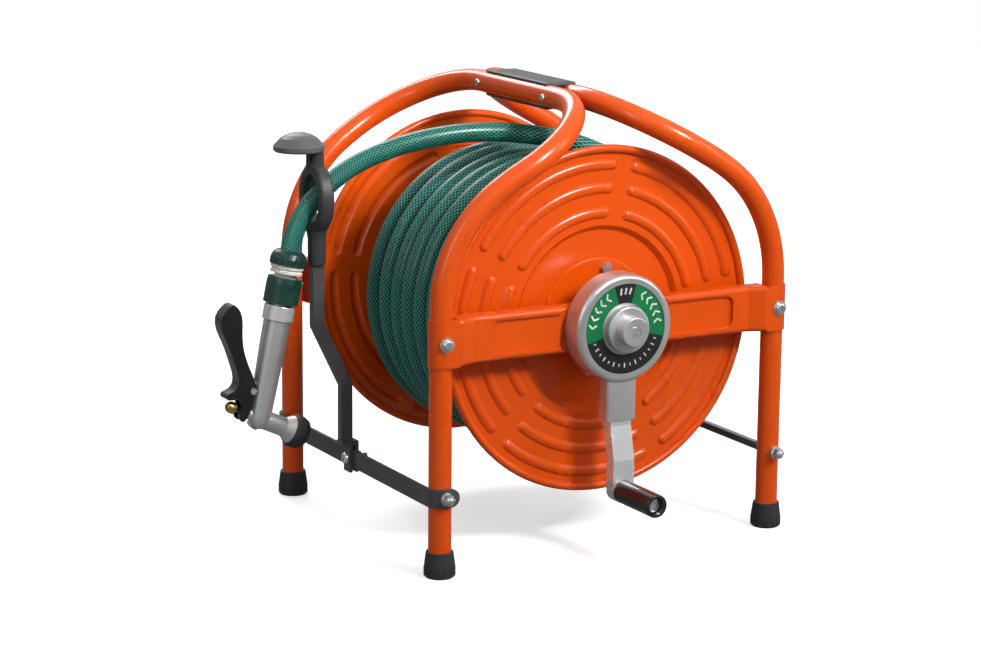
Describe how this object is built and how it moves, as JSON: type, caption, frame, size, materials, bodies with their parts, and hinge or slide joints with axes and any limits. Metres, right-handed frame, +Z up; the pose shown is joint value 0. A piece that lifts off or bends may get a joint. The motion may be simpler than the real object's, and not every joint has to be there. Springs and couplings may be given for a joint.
{
  "type": "garden hose reel cart",
  "caption": "Tubular steel hose reel on four feet: a pressed steel drum turned by a front crank, a swinging hose guide, wound garden hose and a lever nozzle",
  "frame": {"origin": "on the floor, below the middle of the cart's box measured without the hose and its nozzle", "axes": "+Z up, -Y towards the front where the crank is, +X to the right, away from the hose guide; the reel's shaft and the inlet point along +Y"},
  "size_m": [0.5482, 0.4888, 0.4524],
  "materials": {
    "orange": "orange powder coat, semi gloss",
    "zinc": "bright zinc plate",
    "dark_steel": "dark grey paint",
    "cast": "satin die cast",
    "rubber": "matt black rubber",
    "dark_plastic": "fine grain dark grey",
    "gloss_plastic": "black gloss plastic",
    "green_plastic": "dark green plastic",
    "white_plastic": "white plastic",
    "brass": "plain brass",
    "hose": "green braided garden hose",
    "label": "green and black label"
  },
  "bodies": {
    "frame": {"left_hoop": "orange", "right_hoop": "orange", "front_cross_member": "orange", "rear_cross_member": "orange", "cross_member_screws": "zinc", "frame_nuts": "zinc", "flat_bar": "dark_steel", "flat_bar_bolts": "zinc", "tie_rod": "dark_steel", "tie_rod_nuts": "zinc", "acorn_nuts": "zinc", "grip_upper_shell": "dark_plastic", "grip_lower_shell": "dark_plastic", "grip_screws": "zinc", "handle_screws": "zinc", "handle_nuts": "zinc", "front_bush": "dark_plastic", "rear_bush": "dark_plastic", "inlet_housing": "dark_plastic", "inlet_nipple": "dark_plastic", "inlet_screws": "zinc", "guide_pivot_bolt": "zinc", "free_hose_cart_side": "hose", "foot_front_left": "rubber", "foot_front_right": "rubber", "foot_rear_left": "rubber", "foot_rear_right": "rubber"},
    "reel": {"front_disc": "orange", "rear_disc": "orange", "front_hub": "orange", "rear_hub": "orange", "drum": "zinc", "disc_bolts": "zinc", "disc_nuts": "zinc", "reel_shaft": "zinc", "shaft_seals": "rubber", "drum_outlet": "dark_plastic", "hose_clamp": "zinc", "wound_hose": "hose", "crank_head": "cast", "crank_label": "label", "crank_screw": "zinc", "crank_arm": "cast", "crank_grip_pin": "zinc"},
    "crank_grip": {"crank_grip": "dark_plastic"},
    "guide": {"guide_post": "dark_steel", "guide_loop": "dark_plastic", "guide_knob": "dark_plastic", "free_hose_guide_side": "hose", "connector_nut": "green_plastic", "connector_core": "white_plastic", "nozzle_collar": "cast", "nozzle_body": "cast", "nozzle_bumper": "rubber", "trigger_pin": "zinc", "lever_hold_clip": "zinc"},
    "release_sleeve": {"connector_release_sleeve": "green_plastic"},
    "trigger": {"trigger_lever": "gloss_plastic"},
    "valve": {"valve_stem": "brass", "valve_knob": "brass"}
  },
  "joints": [
    {"name": "reel_spin", "type": "hinge", "parent": "frame", "child": "reel", "pos_m": [0.03895, 0.00835, 0.2284], "axis": [0, 1, 0], "continuous": true},
    {"name": "crank_grip_spin", "type": "hinge", "parent": "reel", "child": "crank_grip", "pos_m": [0.03895, -0.21335, 0.0665], "axis": [0, 1, 0], "continuous": true},
    {"name": "guide_swing", "type": "hinge", "parent": "frame", "child": "guide", "pos_m": [-0.16235, 0.00835, 0.0798], "axis": [1, 0, 0], "range_deg": [-20, 20]},
    {"name": "release_pull", "type": "slide", "parent": "guide", "child": "release_sleeve", "axis": [0.2045, 0, 0.9789], "range_m": [0, 0.0035], "stiffness_N_per_m": 800, "springref_m": -0.001},
    {"name": "trigger_squeeze", "type": "hinge", "parent": "guide", "child": "trigger", "pos_m": [-0.27215, 0.00835, 0.16154], "axis": [0, 1, 0], "range_deg": [0, 14], "stiffness_Nm_per_rad": 2, "springref_deg": -5},
    {"name": "valve_slide", "type": "slide", "parent": "guide", "child": "valve", "axis": [-0.907, 0, 0.421], "range_m": [0, 0.0045]}
  ],
  "couplings": [
    {"joint": "valve_slide", "follows": "trigger_squeeze", "m_per_rad": 0.018}
  ]
}
